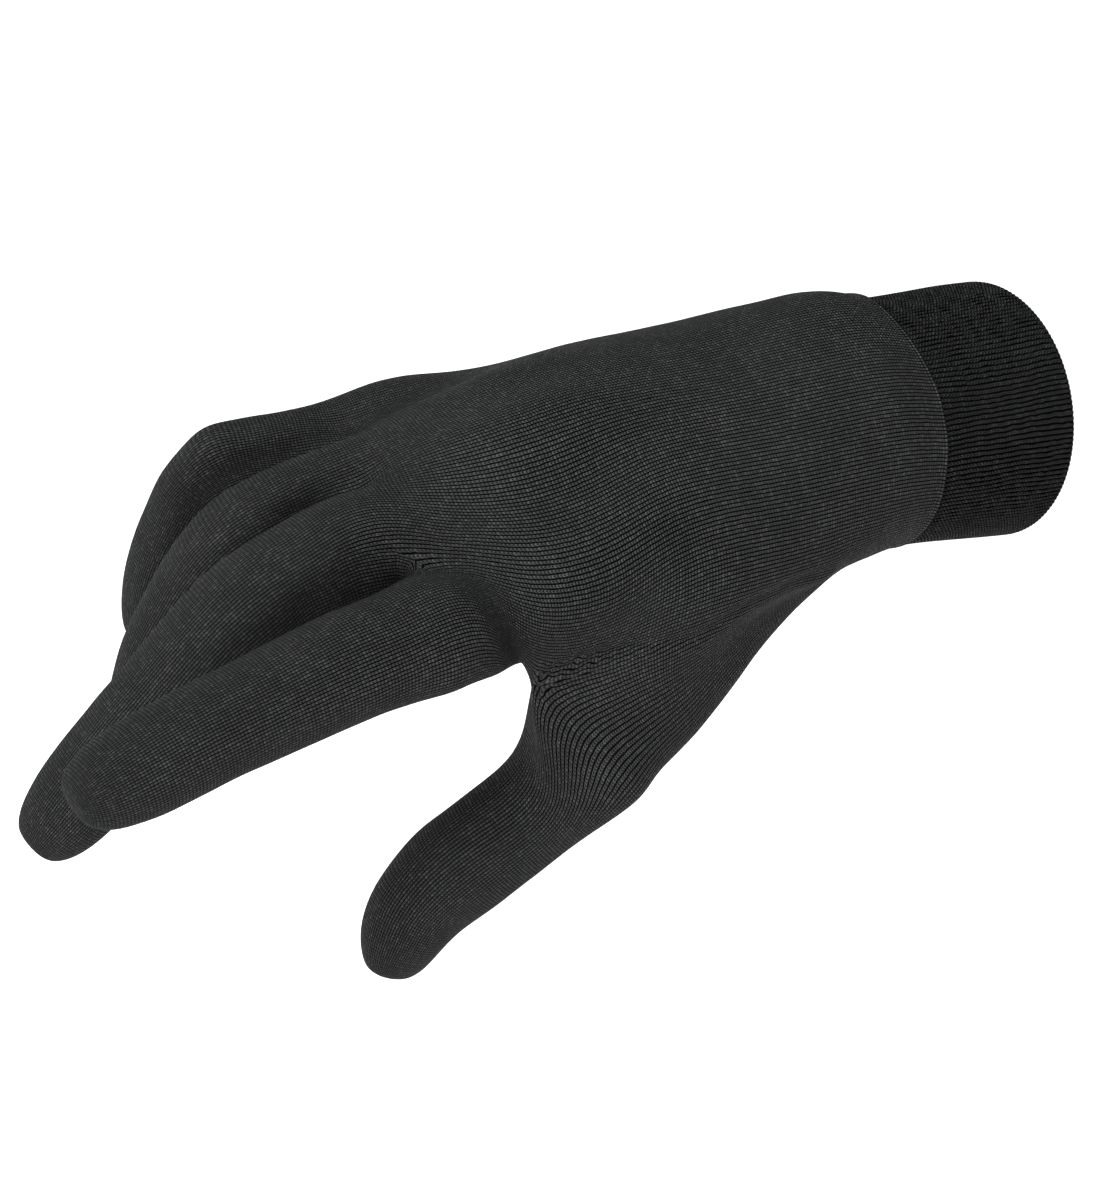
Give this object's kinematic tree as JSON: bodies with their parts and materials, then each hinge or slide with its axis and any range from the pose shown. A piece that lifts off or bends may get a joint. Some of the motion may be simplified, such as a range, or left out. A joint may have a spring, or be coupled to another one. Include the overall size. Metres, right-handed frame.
{
  "type": "glove liner",
  "caption": "Thin seamless knitted glove liner for a right hand, with closed finger and thumb stalls and a short ribbed wrist cuff, in a half-bent worn shape.",
  "frame": {"origin": "centre of the open end of the wrist cuff, where the hand goes in", "axes": "+X runs up the forearm away from the glove, the fingers point to -X, +Z is the side of the back of the hand and -Y is the thumb side"},
  "size_m": [0.216, 0.0901, 0.118],
  "materials": {
    "rib_knit": "matt ribbed knit",
    "plain_knit": "matt fine plain knit"
  },
  "bodies": {
    "root": {"cuff": "rib_knit", "palm_tube": "plain_knit", "index_stall": "plain_knit", "middle_stall": "plain_knit", "ring_stall": "plain_knit", "little_stall": "plain_knit", "thumb_stall": "plain_knit"}
  },
  "joints": []
}
